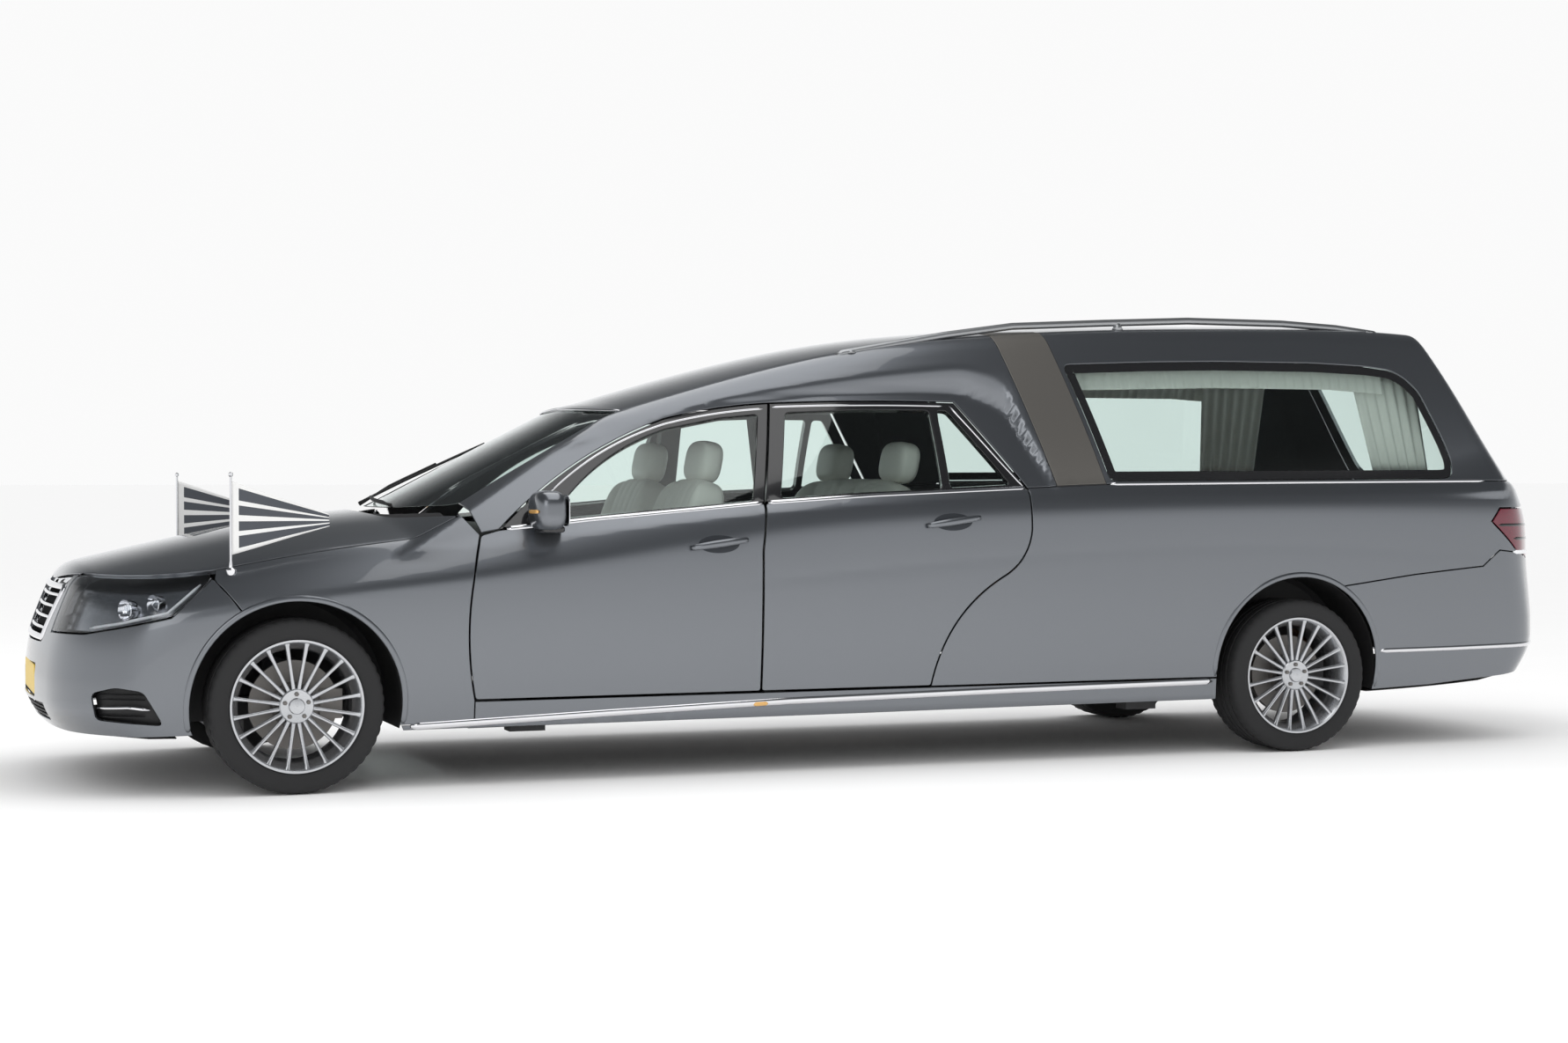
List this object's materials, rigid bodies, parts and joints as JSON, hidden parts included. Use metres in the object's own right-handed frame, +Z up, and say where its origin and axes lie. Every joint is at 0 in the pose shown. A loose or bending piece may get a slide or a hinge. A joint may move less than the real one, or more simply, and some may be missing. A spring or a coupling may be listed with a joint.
{
  "type": "hearse",
  "caption": "Long hearse with a raised glazed load body behind the cabin, roof rails and pennants; doors, hood and tailgate open, wheels roll and steer.",
  "frame": {"origin": "on the ground under the middle of the car", "axes": "+X forward, +Y to the car's left, +Z up"},
  "size_m": [6.5813, 2.07, 1.8519],
  "materials": {
    "paint": "gloss",
    "blade": "satin",
    "glass": "gloss",
    "chrome": "polished",
    "trim": "matte",
    "tyre": "matte",
    "alloy": "satin",
    "leather": "satin",
    "cloth": "matte",
    "lens": "gloss",
    "red_lens": "gloss",
    "steel": "matte",
    "exhaust": "satin",
    "deck": "satin",
    "cabin": "matte"
  },
  "bodies": {
    "body": {"door_hinges": "steel", "rear_bumper": "paint", "front_bumper": "paint", "grille": "chrome", "roof": "paint", "cowl": "trim", "windscreen": "glass", "floor_pan": "steel", "bulkhead": "steel", "b_posts": "trim", "engine": "steel", "front_axle": "steel", "rear_axle": "steel", "exhaust": "exhaust", "rear_bench": "leather", "dashboard": "cabin", "load_deck": "deck", "sills": "paint", "tail_lamps": "red_lens", "headlamps": "lens", "pillar_blades": "blade", "load_glass": "glass", "roof_rails": "alloy", "flag_staffs": "chrome", "pennants": "cloth", "fender_left": "paint", "quarter_left": "paint", "seat_left": "leather", "fender_right": "paint", "quarter_right": "paint", "seat_right": "leather"},
    "hood": {"hood": "paint"},
    "tailgate": {"tailgate": "paint", "tailgate_glass": "glass"},
    "steering_wheel": {"steering_wheel": "cabin"},
    "door_front_left": {"door_front_left": "paint", "glass_front_left": "glass", "mirror_left": "paint", "handle_front_left": "paint"},
    "door_rear_left": {"door_rear_left": "paint", "glass_rear_left": "glass", "handle_rear_left": "paint"},
    "door_front_right": {"door_front_right": "paint", "glass_front_right": "glass", "mirror_right": "paint", "handle_front_right": "paint"},
    "door_rear_right": {"door_rear_right": "paint", "glass_rear_right": "glass", "handle_rear_right": "paint"},
    "upright_left": {"upright_left": "steel"},
    "upright_right": {"upright_right": "steel"},
    "wheel_front_left": {"wheel_front_left": "alloy", "tyre_front_left": "tyre"},
    "wheel_rear_left": {"wheel_rear_left": "alloy", "tyre_rear_left": "tyre"},
    "wheel_front_right": {"wheel_front_right": "alloy", "tyre_front_right": "tyre"},
    "wheel_rear_right": {"wheel_rear_right": "alloy", "tyre_rear_right": "tyre"}
  },
  "joints": [
    {"name": "hood_lift", "type": "hinge", "parent": "body", "child": "hood", "pos_m": [1.73, 0, 0.945], "axis": [0, -1, 0], "range_deg": [0, 50]},
    {"name": "tailgate_lift", "type": "hinge", "parent": "body", "child": "tailgate", "pos_m": [-2.675, 0, 1.765], "axis": [0, 1, 0], "range_deg": [0, 80]},
    {"name": "door_front_left_swing", "type": "hinge", "parent": "body", "child": "door_front_left", "pos_m": [1.65, 0.898, 0.635], "axis": [0, 0, -1], "range_deg": [0, 65]},
    {"name": "door_rear_left_swing", "type": "hinge", "parent": "body", "child": "door_rear_left", "pos_m": [0.49, 0.9, 0.7], "axis": [0, 0, -1], "range_deg": [0, 65]},
    {"name": "door_front_right_swing", "type": "hinge", "parent": "body", "child": "door_front_right", "pos_m": [1.65, -0.898, 0.635], "axis": [0, 0, 1], "range_deg": [0, 65]},
    {"name": "door_rear_right_swing", "type": "hinge", "parent": "body", "child": "door_rear_right", "pos_m": [0.49, -0.9, 0.7], "axis": [0, 0, 1], "range_deg": [0, 65]},
    {"name": "steer_left", "type": "hinge", "parent": "body", "child": "upright_left", "pos_m": [2.39, 0.69, 0.326], "axis": [0, 0, 1], "range_deg": [-30, 30]},
    {"name": "steer_right", "type": "hinge", "parent": "body", "child": "upright_right", "pos_m": [2.39, -0.69, 0.326], "axis": [0, 0, 1], "range_deg": [-30, 30]},
    {"name": "wheel_front_left_spin", "type": "hinge", "parent": "upright_left", "child": "wheel_front_left", "pos_m": [2.39, 0.79, 0.323], "axis": [0, 1, 0], "continuous": true},
    {"name": "wheel_rear_left_spin", "type": "hinge", "parent": "body", "child": "wheel_rear_left", "pos_m": [-1.84, 0.79, 0.323], "axis": [0, 1, 0], "continuous": true},
    {"name": "wheel_front_right_spin", "type": "hinge", "parent": "upright_right", "child": "wheel_front_right", "pos_m": [2.39, -0.79, 0.323], "axis": [0, 1, 0], "continuous": true},
    {"name": "wheel_rear_right_spin", "type": "hinge", "parent": "body", "child": "wheel_rear_right", "pos_m": [-1.84, -0.79, 0.323], "axis": [0, 1, 0], "continuous": true},
    {"name": "steering_wheel_turn", "type": "hinge", "parent": "body", "child": "steering_wheel", "pos_m": [1.3, 0.37, 0.905], "axis": [-0.9272, 0, 0.3746], "range_deg": [-450, 450]}
  ],
  "couplings": [
    {"joint": "steer_right", "follows": "steer_left", "ratio": 1},
    {"joint": "steering_wheel_turn", "follows": "steer_left", "ratio": 15}
  ]
}
